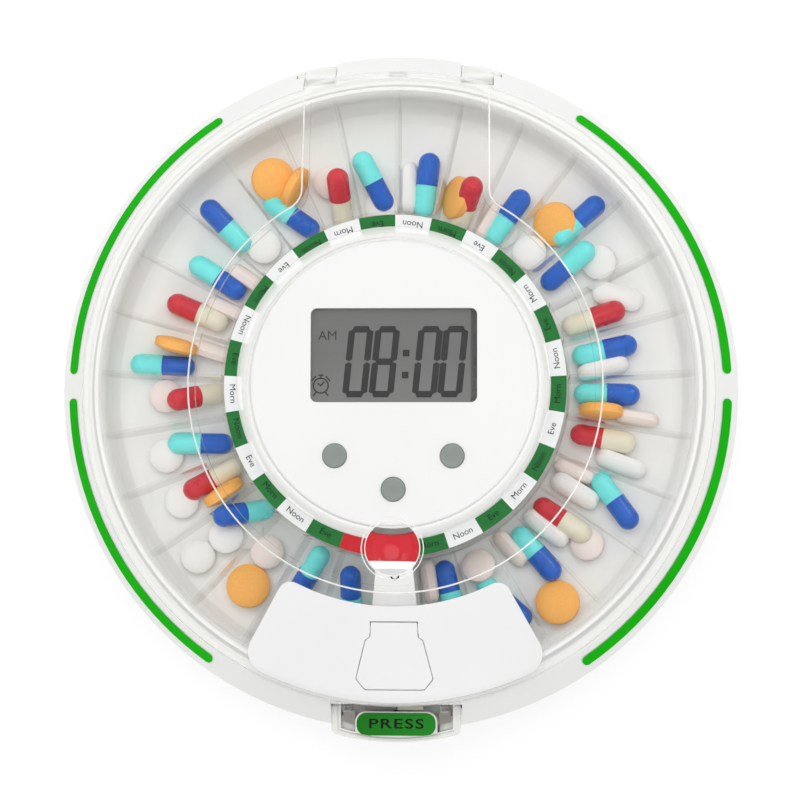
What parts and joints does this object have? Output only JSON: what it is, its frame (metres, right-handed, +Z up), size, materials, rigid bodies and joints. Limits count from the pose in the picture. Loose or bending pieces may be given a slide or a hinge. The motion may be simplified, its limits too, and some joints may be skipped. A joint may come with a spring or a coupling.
{
  "type": "electronic pill box",
  "caption": "Round automatic pill dispenser with a clear hinged lid, a turning tray of wedge-shaped pockets, a clock display with buttons and a press latch.",
  "frame": {"origin": "on the tray's spin axis at the resting plane, which is also the middle of the footprint", "axes": "+Z up, -Y to the front with the release button and the pill hatch, +Y to the lid hinge, +X to the right of a user in front"},
  "size_m": [0.22, 0.2231, 0.06],
  "materials": {
    "white_plastic": "glossy moulded ABS",
    "face_white": "glossy moulded ABS",
    "clear_lid": "clear polished polycarbonate",
    "clear_tray": "clear moulded polystyrene",
    "clear_window": "clear acrylic",
    "accent_green": "glossy green strip",
    "label_green": "printed label with a domed gloss coat",
    "paper_label": "printed ring label",
    "button_grey": "matte silicone",
    "feet_rubber": "soft rubber",
    "display_glass": "liquid crystal panel",
    "black_plastic": "black moulded plastic",
    "board_green": "solder-masked board",
    "steel": "plated steel",
    "cell_jacket": "plain printed battery jacket",
    "gear_nylon": "white acetal",
    "sensor_beige": "beige moulded plastic"
  },
  "bodies": {
    "housing": {"base_shell": "white_plastic", "upper_housing": "white_plastic", "accent_strips": "accent_green", "feet": "feet_rubber", "housing_screws": "steel", "face_plate": "face_white", "lcd_window": "clear_window", "lcd_glass": "display_glass", "lcd_holder": "black_plastic", "circuit_board": "board_green", "board_screws": "steel", "switch_bodies": "black_plastic", "speaker": "black_plastic", "gear_motor": "steel", "motor_screws": "steel", "index_sensor": "black_plastic", "batteries": "cell_jacket", "battery_springs": "steel", "battery_plates": "steel", "hinge_pin": "steel", "lid_spring": "steel", "latch_spring": "steel", "lid_sensor": "sensor_beige", "sensor_bracket": "steel"},
    "battery_cover": {"battery_door": "white_plastic"},
    "lid_assembly": {"lid": "clear_lid", "dose_lens": "clear_lid", "hatch_panel": "face_white"},
    "hatch": {"hatch_flap": "face_white"},
    "tray_assembly": {"tray": "clear_tray", "tray_dividers": "clear_tray", "drive_ring": "gear_nylon", "dosage_ring": "paper_label", "closed_pocket_cover": "face_white"},
    "pinion": {"drive_pinion": "gear_nylon", "motor_shaft": "steel"},
    "release": {"release_button": "white_plastic", "press_label": "label_green"},
    "latch": {"latch_slider": "steel"},
    "left_key": {"left_button": "button_grey", "left_plunger": "black_plastic"},
    "right_key": {"right_button": "button_grey", "right_plunger": "black_plastic"},
    "centre_key": {"centre_button": "button_grey", "centre_plunger": "black_plastic"}
  },
  "joints": [
    {"name": "lid_hinge", "type": "hinge", "parent": "housing", "child": "lid_assembly", "pos_m": [0, 0.103, 0.027], "axis": [-1, 0, 0], "range_deg": [0, 100], "deforming": ["lid_spring"]},
    {"name": "hatch_swing", "type": "hinge", "parent": "lid_assembly", "child": "hatch", "pos_m": [0, -0.0762, 0.04621], "axis": [-1, 0, 0], "range_deg": [0, 100]},
    {"name": "tray_spin", "type": "hinge", "parent": "housing", "child": "tray_assembly", "pos_m": [0, 0, 0.0168], "axis": [0, 0, 1], "continuous": true},
    {"name": "pinion_spin", "type": "hinge", "parent": "housing", "child": "pinion", "pos_m": [0.045, 0, 0.0186], "axis": [0, 0, 1], "continuous": true},
    {"name": "release_press", "type": "slide", "parent": "housing", "child": "release", "axis": [0, 0, -1], "range_m": [0, 0.002], "stiffness_N_per_m": 600, "deforming": ["latch_spring"]},
    {"name": "latch_slide", "type": "slide", "parent": "housing", "child": "latch", "axis": [0, -1, 0], "range_m": [0, 0.002]},
    {"name": "battery_cover_lift", "type": "slide", "parent": "housing", "child": "battery_cover", "axis": [0, 0, -1], "range_m": [0, 0.03]},
    {"name": "left_key_press", "type": "slide", "parent": "housing", "child": "left_key", "axis": [0, 0, -1], "range_m": [0, 0.0006], "stiffness_N_per_m": 900},
    {"name": "right_key_press", "type": "slide", "parent": "housing", "child": "right_key", "axis": [0, 0, -1], "range_m": [0, 0.0006], "stiffness_N_per_m": 900},
    {"name": "centre_key_press", "type": "slide", "parent": "housing", "child": "centre_key", "axis": [0, 0, -1], "range_m": [0, 0.0006], "stiffness_N_per_m": 900}
  ],
  "couplings": [
    {"joint": "pinion_spin", "follows": "tray_spin", "ratio": 8.5},
    {"joint": "latch_slide", "follows": "release_press", "ratio": 1}
  ]
}
